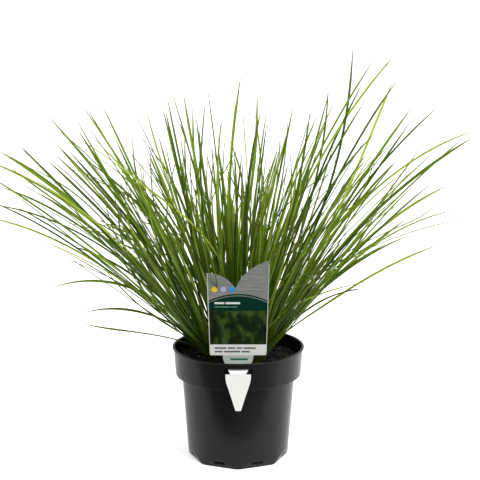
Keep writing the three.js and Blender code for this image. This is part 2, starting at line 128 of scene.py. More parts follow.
class Nodes:
    """The nodes of one material or world."""

    def __init__(self, tree):
        self.tree = tree

    def node(self, kind, settings=None, inputs=None, output=0):
        """Adds a node with its settings, gives its sockets values or links, and returns one output."""
        made = self.tree.nodes.new("ShaderNode" + kind)
        for name, value in (settings or {}).items():
            if name == "stops":
                self.set_stops(made.color_ramp.elements, value)
            else:
                setattr(made, name, value)
        for name, value in (inputs or {}).items():
            if isinstance(value, Value):
                self.tree.links.new(value.socket, made.inputs[name])
            else:
                made.inputs[name].default_value = value
        return Value(self, made.outputs[output])

    def set_stops(self, elements, stops):
        """Gives a ramp's two ready stops the first and last colours, and adds the ones between."""
        for element, (place, colour) in zip(elements, (stops[0], stops[-1])):
            element.position = place
            element.color = (*colour, 1)
        for place, colour in stops[1:-1]:
            elements.new(place).color = (*colour, 1)

    def ramp(self, value, *stops):
        """A colour for a value: stops are (value, (red, green, blue)) from low to high."""
        return self.node("ValToRGB", {"stops": stops}, {"Fac": value})

    def mixed(self, share, first, second):
        """The first colour where share is 0, and the second where it is 1."""
        first, second = (c if isinstance(c, Value) else (*c, 1) for c in (first, second))
        return self.node("Mix", {"data_type": "RGBA"}, {0: share, 6: first, 7: second}, output=2)

    def noise(self, place, scale, detail):
        """Cloudy noise from about 0.3 to 0.7, with scale as the number of clouds in a metre."""
        return self.node("TexNoise", {}, {"Vector": place, "Scale": scale, "Detail": detail})

    def stretched(self, place, x, y, z):
        """The place with its sides scaled, so that a pattern is drawn out along a side of small scale."""
        return self.node("Mapping", {}, {"Vector": place, "Scale": (x, y, z)})


class Finish(Nodes):
    """A material on the principled shader, with the values that are the same all over it."""

    def __init__(self, name, **constants):
        self.material = bpy.data.materials.new(name)
        self.material.use_nodes = True
        super().__init__(self.material.node_tree)
        self.shader = self.tree.nodes["Principled BSDF"]
        for socket, value in constants.items():
            self.shader.inputs[socket.replace("_", " ")].default_value = value
        self.place = self.node("TexCoord", output=3)

    def feed(self, **values):
        """Links values to the sockets of the shader that have their names."""
        for socket, value in values.items():
            self.tree.links.new(value.socket, self.shader.inputs[socket.replace("_", " ")])

    def attribute(self, name):
        """The number that the piece's points hold under a name."""
        return self.node("Attribute", {"attribute_name": name}, output=2)

    def bumped(self, height, distance):
        """Raises and sinks the surface's shading by a height from 0 to 1, over a distance in metres."""
        self.feed(Normal=self.node("Bump", {}, {"Height": height, "Distance": distance, "Strength": 1}))


def grid_faces(rows, columns):
    """Quads between each ring of points and the next, where point (i, j) has number i * columns + j."""
    i, j = np.meshgrid(np.arange(rows - 1), np.arange(columns), indexing="ij")
    k = (j + 1) % columns
    low, high = i * columns, (i + 1) * columns
    return np.stack([low + j, low + k, high + k, high + j], axis=-1)


def add_piece(name, points, faces, finishes, slot, nodes, smooth_below=None, face_finish=None, **numbers):
    """A closed mesh from points in millimetres, as a piece that rides on the root and replaces nodes.

    Points at the same place are merged, which closes poles and seams. The numbers are attributes, with one
    value per point, and smooth_below is the angle in degrees over which an edge shows as sharp.
    """
    mesh = bpy.data.meshes.new(name)
    mesh.from_pydata(points.reshape(-1, 3) * MM, [], faces.reshape(-1, faces.shape[-1]))
    for attribute, values in numbers.items():
        data = mesh.attributes.new(attribute, "FLOAT", "POINT").data
        data.foreach_set("value", np.broadcast_to(values, points.shape[:-1]).astype(np.float32).ravel())
    if face_finish is not None:
        mesh.polygons.foreach_set("material_index", face_finish.ravel().astype(np.int32))
    shape = bmesh.new()
    shape.from_mesh(mesh)
    bmesh.ops.remove_doubles(shape, verts=shape.verts, dist=1e-6)
    shape.to_mesh(mesh)
    shape.free()
    if smooth_below is not None:
        mesh.shade_smooth()
        mesh.set_sharp_from_angle(angle=math.radians(smooth_below))
    for finish in finishes:
        mesh.materials.append(finish.material)
    piece = bpy.data.objects.new(name, mesh)
    bpy.context.scene.collection.objects.link(piece)
    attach(piece, "root")
    if nodes:
        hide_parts(*nodes)
    return piece


def curved(start, pull, end, t):
    """A quadratic curve from start to end, pulled towards a third point, at shares t of its way."""
    return (1 - t) ** 2 * start + 2 * t * (1 - t) * pull + t ** 2 * end


def rounded(corners, steps=5):
    """The outline of [distance from the axis, height, rounding] corners, with the corners rounded.

    Each corner is cut back by its rounding on both sides, and a quadratic curve bridges the cut.
    """
    corners = np.array(corners, float)
    here = corners[1:-1, :2]
    back, on = corners[:-2, :2] - here, corners[2:, :2] - here
    cut = corners[1:-1, 2:]
    start = here + cut * back / np.linalg.norm(back, axis=1, keepdims=True)
    end = here + cut * on / np.linalg.norm(on, axis=1, keepdims=True)
    t = np.linspace(0, 1, steps)[:, None]
    curves = [curved(*cut_corner, t) for cut_corner in zip(start, here, end)]
    return np.vstack([corners[:1, :2], *curves, corners[-1:, :2]])


def refined(outline, spacing):
    """The outline with points added, so that each is at most a spacing above or below the last."""
    pieces = []
    for a, b in zip(outline, outline[1:]):
        count = max(1, math.ceil(abs(b[1] - a[1]) / spacing))
        pieces.append(a + (b - a) * np.linspace(0, 1, count, endpoint=False)[:, None])
    return np.vstack([*pieces, outline[-1:]])


def body_radius(height):
    """The body's outside, which widens evenly from the base to the collar's foot."""
    return BASE_RADIUS + (BODY_TOP_RADIUS - BASE_RADIUS) * height / COLLAR_FOOT


def collar_radius(height):
    """The collar's outside, which widens evenly from its foot to the rim."""
    share = (height - COLLAR_FOOT) / (HEIGHT - COLLAR_FOOT)
    return COLLAR_BOTTOM_RADIUS + (COLLAR_TOP_RADIUS - COLLAR_BOTTOM_RADIUS) * share


def flattened(outline, angles, inset, base_radius, base_height):
    """Turns an outline round the axis and cuts the flats in, as [row, column, xyz].

    A flat is a slanted plane. Its distance from the axis, over the cosine of the angle off its middle,
    limits the radius by a soft minimum that rounds the fold, and the base shrinks by the same share.
    """
    radius, height = outline[:, :1], outline[:, 1:]
    off = np.radians(np.degrees(angles) % (360 / FLATS) - 180 / FLATS)
    run = body_radius(FLAT_TOP) - FLAT_FOOT
    inset = inset / math.cos(math.atan2(run, FLAT_TOP))
    limit = (FLAT_FOOT + run * np.maximum(height, base_height) / FLAT_TOP - inset) / np.cos(off)
    cut = (radius + limit - np.sqrt((radius - limit) ** 2 + FLAT_FOLD ** 2)) / 2
    on_base = radius * np.minimum(1, limit / base_radius)
    cut = np.where(height <= base_height, on_base, np.minimum(cut, radius))
    cut = np.where(height > 2 * FLAT_TOP, radius, cut)
    return np.stack([cut * np.cos(angles), cut * np.sin(angles), height + 0 * cut], axis=-1)


def window_loop(low, high, left, right, columns):
    """Numbers of the points round a window of the grid, from its low left corner round to it again."""
    step = 1 if high > low else -1
    sides = [
        [(low, j) for j in range(left, right)],
        [(i, right) for i in range(low, high, step)],
        [(high, j) for j in range(right, left, -1)],
        [(i, left) for i in range(high, low, -step)],
    ]
    loop = [i * columns + j % columns for side in sides for i, j in side]
    return np.array(loop + loop[:1])


def make_pot():
    """The outline turned round the axis, up the outside, over the lip and down the inside.

    Each slot or slit is a window left out of the outer and the inner wall, whose edges quads then join.
    """
    outside = refined(rounded([
        [0, 0, 0],
        [BASE_RADIUS, 0, 1.2],
        [BODY_TOP_RADIUS, COLLAR_FOOT, 1.4],
        [COLLAR_BOTTOM_RADIUS, COLLAR_FOOT + 0.4, 0.45],
        [COLLAR_TOP_RADIUS, LIP_FOOT, 0.5],
        [RIM, LIP_FOOT, 0.7],
        [RIM, HEIGHT, 0.7],
        [COLLAR_TOP_RADIUS - WALL, HEIGHT, 0.9],
        [COLLAR_TOP_RADIUS - WALL, LIP_INSIDE, 0],
    ]), POT_ROW)
    inside = refined(rounded([
        [COLLAR_TOP_RADIUS - WALL, LIP_INSIDE, 0],
        [COLLAR_BOTTOM_RADIUS - WALL, COLLAR_FOOT + WALL, 1.0],
        [BODY_TOP_RADIUS - WALL, COLLAR_FOOT + WALL, 1.0],
        [BASE_RADIUS - WALL, FLOOR_THICKNESS, 0.4],
        [0, FLOOR_THICKNESS, 0],
    ]), POT_ROW)[1:]
    angles = FRONT + np.arange(POT_COLUMNS) / POT_COLUMNS * 2 * math.pi
    points = np.concatenate([
        flattened(outside, angles, 0, BASE_RADIUS, 0),
        flattened(inside, angles, WALL, BASE_RADIUS - WALL, FLOOR_THICKNESS),
    ])
    faces = grid_faces(len(points), POT_COLUMNS)
    kept = np.ones(faces.shape[:2], bool)
    turn = 360 / POT_COLUMNS
    middles = (np.arange(FLATS) + 0.5) * 360 / FLATS
    windows = [(middle, SLOT_HALF_TURN, SLOT_HEIGHTS, SLOT_RISE) for middle in middles]
    windows.append((0, SLIT_HALF_TURN, SLIT_HEIGHTS, 0))
    bridges = []
    for middle, half_turn, (low, high), rise in windows:
        left, right = round((middle - half_turn) / turn), round((middle + half_turn) / turn)
        heights = np.where(outside[:, 0] > FLAT_FOOT, outside[:, 1], np.inf)
        outer_low, outer_high = (np.argmin(np.abs(heights - z)) for z in (low, high))
        inner_low = len(outside) + np.argmin(np.abs(inside[:, 1] - low - rise))
        inner_high = inner_low - (outer_high - outer_low)
        columns = np.arange(left, right) % POT_COLUMNS
        kept[outer_low:outer_high, columns] = False
        kept[inner_high:inner_low, columns] = False
        outer = window_loop(outer_low, outer_high, left, right, POT_COLUMNS)
        inner = window_loop(inner_low, inner_high, left, right, POT_COLUMNS)
        bridges.append(np.stack([outer[1:], outer[:-1], inner[:-1], inner[1:]], axis=-1))
    return points, np.concatenate([faces[kept], *bridges])


def pot_plastic():
    """Black plastic with a faint cloud and upright streaks in its colour and shine, and a fine grain."""
    finish = Finish("pot_plastic", IOR=1.45, Specular_IOR_Level=0.23)
    cloud = finish.noise(finish.place, 28, 4)
    streaks = finish.noise(finish.stretched(finish.place, 1, 1, 0.12), 160, 3)
    finish.feed(Base_Color=finish.ramp(
        cloud * 0.6 + streaks * 0.4,
        (0.3, (0.0058, 0.0055, 0.005)),
        (0.7, (0.009, 0.0085, 0.0078)),
    ))
    finish.feed(Roughness=0.17 + cloud * 0.1 + streaks * 0.07)
    grain = finish.noise(finish.place, 2600, 2)
    finish.bumped(grain * 0.6 + streaks * 0.4, 0.00002)
    return finish


pot_points, pot_faces = make_pot()
add_piece("nursery_pot", pot_points, pot_faces, [pot_plastic()], "pot_plastic", ["pot"], smooth_below=40)

# Potting mix: damp, near-black bark fines that fill the pot to a finger's width below its rim. The body
# of the mix follows the pot's inside, and loose flakes of bark with a few paler bits lie all over it.

SOIL_LEVEL = 106
SOIL_LUMP = 1.3
SOIL_CRUMB = 0.35
SOIL_GAP = 0.3
SOIL_RADIUS = collar_radius(SOIL_LEVEL) - WALL - SOIL_GAP
SOIL_RINGS = 60
SOIL_COLUMNS = 180
FLAKES = 1500
FLAKE_SIDES = 5
FLAKE_LENGTHS = (1.6, 7.5)
MOSTLY_SHORT = 2.4
FLAKE_CORNERS = (0.55, 1.1)
FLAKE_WIDTHS = (0.35, 0.8)
FLAKE_THICKNESSES = (0.14, 0.4)
FLAKE_UNEVEN = 0.18
FLAKE_TILT = 0.42
FLAKE_SEED = 5
PALE_SHARE = 0.02


def soil_height(x, y):
    """The top of the mix: three crossed waves from broad to fine, round its level."""
    broad = np.sin(0.11 * x + 0.6) * np.cos(0.13 * y - 0.4)
    middle = np.sin(0.37 * x - 0.21 * y + 1.1) * np.cos(0.29 * y + 0.17 * x)
    fine = np.sin(0.83 * x + 0.31 * y) * np.sin(0.71 * y - 0.44 * x + 2.0)
    return SOIL_LEVEL + SOIL_LUMP * (0.5 * broad + 0.6 * middle + 0.5 * fine)


def make_soil():
    """The pot's inside turned round the axis, with a top of rings at soil_height and finer crumbs."""
    ledge = COLLAR_FOOT + WALL + SOIL_GAP
    side = np.array([
        [0, FLOOR_THICKNESS + SOIL_GAP],
        [FLAT_FOOT - 2 * WALL, FLOOR_THICKNESS + SOIL_GAP],
        [body_radius(FLAT_TOP) - WALL - 2 * SOIL_GAP, FLAT_TOP + 3 * WALL],
        [BODY_TOP_RADIUS - WALL - 2 * SOIL_GAP, ledge],
        [collar_radius(ledge) - WALL - SOIL_GAP, ledge],
    ])
    rings = SOIL_RADIUS * np.linspace(1, 0, SOIL_RINGS)
    outline = np.vstack([side, np.stack([rings, np.full_like(rings, SOIL_LEVEL)], axis=-1)])
    angles = np.arange(SOIL_COLUMNS) / SOIL_COLUMNS * 2 * math.pi
    x = outline[:, :1] * np.cos(angles)
    y = outline[:, :1] * np.sin(angles)
    z = outline[:, 1:] + 0 * x
    crumbs = np.sin(2.3 * x + 1.7 * np.sin(1.9 * y)) * np.sin(2.1 * y + 1.5 * np.sin(2.4 * x))
    z[len(side):] = (soil_height(x, y) + SOIL_CRUMB * crumbs)[len(side):]
    return np.stack([x, y, z], axis=-1)


def turned(points, axes, angles):
    """Points turned about unit axes by Rodrigues' formula."""
    c, s = np.cos(angles), np.sin(angles)
    along = (points * axes).sum(-1, keepdims=True)
    return points * c + np.cross(axes, points) * s + axes * along * (1 - c)


def make_flakes(random):
    """Flat chips of five uneven sides, each four rings of points that close at both faces' middles.

    Most are short. Corners, widths and thicknesses are shares of a chip's length. Each chip is turned,
    tilted and laid at a random place on the mix.
    """
    ring = np.arange(FLAKE_SIDES) / FLAKE_SIDES * 2 * math.pi
    reach = random.uniform(*FLAKE_CORNERS, (FLAKES, 1, FLAKE_SIDES))
    layers = np.array([0, 1, 0.86, 0])[:, None]
    uneven = random.uniform(-FLAKE_UNEVEN, FLAKE_UNEVEN, (FLAKES, 4, FLAKE_SIDES))
    heights = np.array([-0.5, -0.5, 0.5, 0.5])[:, None] + uneven
    heights[:, [0, 3]] = heights[:, [0, 3], :1]
    shortest, longest = FLAKE_LENGTHS
    length = shortest + (longest - shortest) * random.random((FLAKES, 1, 1)) ** MOSTLY_SHORT
    across = length * random.uniform(*FLAKE_WIDTHS, (FLAKES, 1, 1))
    thick = length * random.uniform(*FLAKE_THICKNESSES, (FLAKES, 1, 1))
    chips = np.stack([
        length / 2 * reach * layers * np.cos(ring),
        across / 2 * reach * layers * np.sin(ring),
        thick * heights,
    ], axis=-1)
    up = np.array([0.0, 0.0, 1.0])
    chips = turned(chips, up, random.uniform(0, 2 * math.pi, (FLAKES, 1, 1, 1)))
    tilt_way = random.uniform(0, 2 * math.pi, (FLAKES, 1, 1))
    tilt_axis = np.stack([np.cos(tilt_way), np.sin(tilt_way), 0 * tilt_way], axis=-1)
    chips = turned(chips, tilt_axis, random.normal(0, FLAKE_TILT, (FLAKES, 1, 1, 1)))
    out = (SOIL_RADIUS - 0.5 * length[:, 0] - 0.6) * np.sqrt(random.random((FLAKES, 1)))
    way = random.uniform(0, 2 * math.pi, (FLAKES, 1))
    x, y = out * np.cos(way), out * np.sin(way)
    z = soil_height(x, y) + 0.25 * thick[:, 0] + 0.2
    return chips + np.stack([x, y, z], axis=-1)[:, None]


def bark():
    """Near-black to brown by each flake's tone, with a few pale ones, damp and uneven."""
    finish = Finish("bark", IOR=1.4, Specular_IOR_Level=0.3)
    tone = finish.attribute("tone")
    cloud = finish.noise(finish.place, 420, 4)
    finish.feed(Base_Color=finish.ramp(
        tone * 0.92 + cloud * 0.1,
        (0.05, (0.0015, 0.0013, 0.0011)),
        (0.55, (0.0045, 0.0034, 0.0026)),
        (0.88, (0.014, 0.0092, 0.006)),
        (0.95, (0.05, 0.036, 0.024)),
        (0.99, (0.2, 0.17, 0.13)),
    ))
    finish.feed(Roughness=0.5 + cloud * 0.5)
    finish.bumped(finish.noise(finish.place, 1500, 3), 0.0002)
    return finish


random = np.random.default_rng(FLAKE_SEED)
bark_finish = bark()
soil_points = make_soil()
add_piece(
    "potting_mix_body", soil_points, grid_faces(*soil_points.shape[:2]), [bark_finish], "potting_mix",
    ["potting_mix"], smooth_below=60, tone=0.2,
)
flake_points = make_flakes(random)
flake_faces = grid_faces(4, FLAKE_SIDES).reshape(-1, 4)
flake_faces = np.arange(FLAKES)[:, None, None] * 4 * FLAKE_SIDES + flake_faces
flake_tones = random.random((FLAKES, 1, 1)) * 0.93
flake_tones[: int(PALE_SHARE * FLAKES)] = 1
add_piece("bark_flakes", flake_points, flake_faces, [bark_finish], "potting_mix", [], tone=flake_tones)

# The clump: twenty tillers, each a tuft of narrow leaves whose folded bases make its sheath. They share
# a fan of leaf lines, each named by its lean, 0 upright in the middle and 1 low at the outside, and its
# azimuth in radians. A line is an arc that bends more with its lean, and is more upright behind the label.

CROWN_RADIUS = 38
CROWN_OFFSET = -3
CROWN_LEVEL = SOIL_LEVEL + 3
LEAST_LEAN = 0.05
MOST_LEAN = 1.6
START_LEAN = math.radians(44)
EXTRA_BEND = math.radians(23)
BEND_LENGTH = 300
FRONT_UPRIGHT = 0.45
FRONT_ARCH = math.radians(40)
FRONT_SPREAD = math.radians(55)
HALVINGS = 30


def smoothstep(value, low, high):
    """0 below low, 1 above high, and three squares less two cubes of the share between them."""
    t = np.clip((value - low) / (high - low), 0, 1)
    return t * t * (3 - 2 * t)


def arc_of(lean, azimuth):
    """Where a leaf line starts, how it leans there, and its bend for each millimetre along it."""
    off_front = np.arccos(np.clip(np.cos(azimuth - FRONT), -1, 1))
    scale = 1 - FRONT_UPRIGHT * (1 - smoothstep(off_front, 0, FRONT_SPREAD))
    bend = EXTRA_BEND * np.maximum(lean, LEAST_LEAN) ** 2 + FRONT_ARCH * lean * (1 - scale)
    bend = bend / BEND_LENGTH
    return CROWN_RADIUS * lean, START_LEAN * lean * scale, bend


def fan_point(lean, azimuth, along):
    """The point of the arc after a length along it: the change of its cosine and sine, over its bend."""
    root, start, bend = arc_of(lean, azimuth)
    end = start + bend * along
    out = root + (np.cos(start) - np.cos(end)) / bend
    up = (np.sin(end) - np.sin(start)) / bend
    x = CROWN_OFFSET + out * np.cos(azimuth)
    return np.stack([x, out * np.sin(azimuth), CROWN_LEVEL + up], axis=-1)


def line_to(x, y, z):
    """The lean, azimuth and length of the line to a point, with the lean found by halving its range."""
    azimuth = np.arctan2(y, x - CROWN_OFFSET)
    out = np.hypot(x - CROWN_OFFSET, y)
    low, high = LEAST_LEAN, MOST_LEAN
    for _ in range(HALVINGS):
        lean = (low + high) / 2
        root, start, bend = arc_of(lean, azimuth)
        chord = np.hypot(out - root, z - CROWN_LEVEL)
        half = np.arcsin(np.minimum(1, bend * chord / 2))
        length = 2 * half / bend
        if start + half > np.arctan2(out - root, z - CROWN_LEVEL):
            high = lean
        else:
            low = lean
    return (low + high) / 2, azimuth, length


def seeded(seed):
    """Random numbers from 0 to 1 by mixing the bits of a 32-bit counter, the same on every run."""
    state = seed
    while True:
        state = (state + 0x6D2B79F5) % 2 ** 32
        mixed = (state ^ state >> 15) * (state | 1) % 2 ** 32
        mixed ^= (mixed + (mixed ^ mixed >> 7) * (mixed | 61)) % 2 ** 32
        yield (mixed ^ mixed >> 14) / 2 ** 32


# Tillers stand in three rings, and each has a cell of the fan, from inner to outer lean and over a share
# of the circle. The outer ring is open behind the label. Its skew gives the left of the clump more leaves
# than the right, and they lean further out. Margins and open turns are in degrees.

RINGS = [
    dict(count=3, leaves=11, margin=12, open=0, root=0.19, inner=0.1, usual=0.28, outer=0.28, skew=0),
    dict(count=6, leaves=13, margin=3, open=0, root=0.45, inner=0.34, usual=0.56, outer=0.56, skew=0),
    dict(count=11, leaves=15, margin=1.4, open=64, root=0.8, inner=0.62, usual=0.9, outer=1.6, skew=0.1),
]
CELL_SEED = 41
UNEVEN = 0.3


def tiller_cells():
    """Each ring's circle cut at uneven steps, with a margin kept free at both sides of a cell."""
    draw = seeded(CELL_SEED)
    cells = []
    for ring in RINGS:
        margin, open_turn = math.radians(ring["margin"]), math.radians(ring["open"])
        steps = [i + UNEVEN * (next(draw) - 0.5) for i in range(1, ring["count"])]
        span = (2 * math.pi - open_turn) / ring["count"]
        edges = [FRONT + open_turn / 2 + step * span for step in [0, *steps, ring["count"]]]
        for low, high in zip(edges, edges[1:]):
            azimuth = (low + high) / 2
            full = 1 - ring["skew"] * math.cos(azimuth)
            cell = dict(ring, full=full, azimuth=azimuth, low=low + margin, high=high - margin)
            cell["leaves"] = math.floor(ring["leaves"] * full + 0.5)
            cell["usual"] = ring["usual"] * full
            cells.append(cell)
    return cells


# Tips of the leaves that stand out of the clump seen from the front: x, y and height in millimetres, and
# bow. A leaf with a bow first stands more upright by that lean and then arches over, and one with a bow
# below 0 sags and then turns up.

STANDING_OUT = [
    [-255, 30, 325, 0.1], [-262, -20, 310, 0], [-258, 40, 285, 0.1], [-262, -40, 268, 0.1],
    [-265, 0, 320, 0.1], [-264, 10, 271, 0.15],
    [-225, 0, 333, 0], [-210, 80, 308, 0], [-195, -20, 370, 0], [-175, -75, 343, 0],
    [-165, 30, 350, 0], [-160, -10, 378, 0], [-155, 60, 315, 0], [-140, -10, 380, 0],
    [-128, -40, 325, 0], [-133, 45, 340, 0], [-90, -60, 345, 0], [-88, 75, 340, 0],
    [-77, 0, 373, 0], [-72, -30, 391, 0], [-57, 70, 382, 0], [-42, -50, 372, 0],
    [-20, -80, 347, 0], [-3, 60, 372, 0], [3, 45, 404, 0], [20, 40, 385, 0],
    [22, -80, 380, 0], [57, 0, 377, 0], [68, -50, 382, 0], [84, 0, 393, -0.12],
    [92, -30, 395, 0], [104, 30, 383, 0], [117, 0, 438, -0.1], [130, 20, 399, 0],
    [138, -20, 427, 0], [158, 0, 425, 0.08], [162, -30, 408, 0.08], [165, 40, 335, 0.04],
    [176, -20, 366, 0], [184, 40, 370, 0], [207, 0, 376, 0.06], [238, 0, 347, 0],
    [250, 30, 346, 0.2], [213, -40, 300, 0.1], [176, -10, 260, 0], [184, 20, 236, 0.1],
    [213, 0, 230, 0.05], [-200, -10, 184, 0.45], [-173, 30, 220, 0.1], [-168, 10, 152, 0.28],
    [-165, -20, 150, -0.12], [128, -10, 184, 0.3], [129, -20, 384, 0], [141, -60, 358, 0.15],
    [240, -20, 346, 0.04], [169, 60, 396, 0],
]
LEAN_MATTERS = 3
LONGEST_LEAF = 340
SHORTEST_SHARE = 0.48
STRAY = 0.7
GOLDEN_SHARE = 0.382
LOOSE = 0.2
CROWDED_INSIDE = 1.3
TUFTED = 0.5
TILLER_SEED = 1000
MOST_TURN = 0.9
LEAF_WIDTH = 2.8
WIDTH_SPREAD = 0.2


def nearest_turn(azimuth, cell):
    """The azimuth kept within the cell."""
    off = math.remainder(azimuth - cell["azimuth"], 2 * math.pi)
    return min(max(cell["azimuth"] + off, cell["low"]), cell["high"])


def nearest_cell(lean, azimuth, cells):
    """The number of the cell that a line misses by least, where a miss in lean counts for more."""
    def miss(cell):
        turned_by = abs(math.remainder(azimuth - nearest_turn(azimuth, cell), 2 * math.pi))
        return LEAN_MATTERS * max(cell["inner"] - lean, lean - cell["outer"], 0) + turned_by
    return min(range(len(cells)), key=lambda i: miss(cells[i]))


def chosen_leaves(number, cells):
    """A tiller's standing-out leaves: rows of middle lean and azimuth, tip lean and azimuth, length."""
    cell = cells[number]
    leaves = []
    for x, y, z, bow in STANDING_OUT:
        lean, azimuth, length = line_to(x, y, z)
        if nearest_cell(lean, azimuth, cells) == number:
            lean = min(max(lean, cell["inner"]), cell["outer"])
            azimuth = nearest_turn(azimuth, cell)
            middle = min(max(lean - bow, cell["inner"]), cell["outer"])
            leaves.append([middle, azimuth, lean, azimuth, length])
    return leaves


def strayed(place, low, high, share):
    """A place moved by chance within its range, and turned back where it would leave it."""
    moved = place + STRAY * (high - low) * (share - 0.5)
    if moved < low:
        return 2 * low - moved
    return 2 * high - moved if moved > high else moved


def longest_leaf(lean, azimuth):
    """Leaves are longer with more lean, longest to the left and shortest to the front and back."""
    sideways = 0.04 * np.cos(2 * azimuth) - 0.04 * np.cos(azimuth)
    return LONGEST_LEAF * (0.8 + 0.12 * np.minimum(1, lean) + sideways)


def filling_leaves(cell, count, draw):
    """Leaves spread over the cell: more to its inside, and by golden steps across, drawn to its middle."""
    leaves = []
    for i in range(count):
        outwards = ((i + next(draw)) / count) ** (CROWDED_INSIDE / cell["full"])
        even = ((i * GOLDEN_SHARE) % 1 + LOOSE * next(draw)) / (1 + LOOSE)
        across = 0.5 + (even - 0.5) * abs(2 * even - 1) ** TUFTED
        lean = cell["inner"] + (cell["usual"] - cell["inner"]) * outwards
        azimuth = cell["low"] + (cell["high"] - cell["low"]) * across
        tip_lean = strayed(lean, cell["inner"], cell["usual"], next(draw))
        tip_azimuth = strayed(azimuth, cell["low"], cell["high"], next(draw))
        share = SHORTEST_SHARE + (1 - SHORTEST_SHARE) * next(draw)
        length = longest_leaf(tip_lean, tip_azimuth) * share
        leaves.append([lean, azimuth, tip_lean, tip_azimuth, length])
    return leaves


def tiller_leaves(number, cells):
    """A tiller's chosen and filling leaves, each row with the leaf's turn and width added."""
    draw = seeded(TILLER_SEED + number + 1)
    cell = cells[number]
    leaves = chosen_leaves(number, cells)
    leaves += filling_leaves(cell, cell["leaves"] - len(leaves), draw)
    for leaf in leaves:
        leaf.append(MOST_TURN * (2 * next(draw) - 1))
        leaf.append(LEAF_WIDTH * (1 + WIDTH_SPREAD * (2 * next(draw) - 1)))
    return np.array(leaves)


# The finer leaves between the main ones, which stray into their neighbours' cells and cross them. Those
# behind the label keep to their own line, so that none comes forward over it.

FINE_LEAVES = 8
FINE_SEED = 300
FINE_WIDTHS = (1.8, 2.8)
FINE_LENGTHS = (0.35, 0.9)
FINE_MOST_LEAN = 1.0
PAST_INNER = 0.08
PAST_OUTER = 0.05
FINE_SAG = 0.05
FINE_STRAY = 0.2
FINE_SWING = 0.42
SWING_IN_MIDDLE = 0.4
FINE_TURN = 1.6
BEHIND_LABEL = 1.2


def fine_leaves(cell, random):
    """Rows like the main leaves', from even chances in the cell and normal ones about each line."""
    count = FINE_LEAVES
    lean = random.uniform(cell["inner"] - PAST_INNER, cell["usual"] + PAST_OUTER, count)
    azimuth = random.uniform(cell["low"], cell["high"], count)
    tip_lean = np.clip(lean + random.normal(FINE_SAG, FINE_STRAY, count), LEAST_LEAN, FINE_MOST_LEAN)
    tip_azimuth = azimuth + random.normal(0, FINE_SWING, count) / (SWING_IN_MIDDLE + lean)
    aside = (tip_azimuth - FRONT + math.pi) % (2 * math.pi) - math.pi
    behind_label = np.abs(aside) < BEHIND_LABEL
    tip_lean = np.where(behind_label, np.minimum(tip_lean, lean), tip_lean)
    tip_azimuth = np.where(behind_label, azimuth, tip_azimuth)
    length = longest_leaf(tip_lean, tip_azimuth) * random.uniform(*FINE_LENGTHS, count)
    turn = random.uniform(-FINE_TURN, FINE_TURN, count)
    width = random.uniform(*FINE_WIDTHS, count)
    return np.stack([lean, azimuth, tip_lean, tip_azimuth, length, turn, width], axis=-1)


# One leaf is a long strap: folded like a keel at its root, opening to a shallow channel, turning slowly,
# and drawn out to a fine point, with a few blunt, broken ends. A leaf's bows are shares of its length: to
# its side, to its back, and first to one side and then to the other.

LEAF_RINGS = 34
LEAF_START = 4
SPREAD_LENGTH = 42
TURN_LENGTH = 200
POINT_LENGTH = 36
BLUNT_SHARE = 0.07
BLUNT_END = 0.7
LEAF_THICKNESS = 0.42
HALF_WIDTHS = (0.34, 0.5)
ROOT_WIDTH = 0.65
NARROWING = 0.08
ROOT_FOLD = 0.97
OPEN_FOLD = 0.42
EDGE_THINNING = 0.45
BOWS = (0.024, 0.019, 0.009)
FINE_BOW = 1.6
FACED = 0.88
FACED_FROM = (30, 110)
TO_VIEWER = np.array([0, -0.98, 0.2])
ACROSS = np.array([-1, -0.5, 0, 0.5, 1, 0.5, 0, -0.5])
BELOW = np.array([0, 0, 0, 0, 0, 1, 1, 1])


def spread(along):
    """How far a leaf has left its tiller's line: the square of its way, over that square plus one."""
    ratio = (along / SPREAD_LENGTH) ** 2
    return ratio / (1 + ratio)


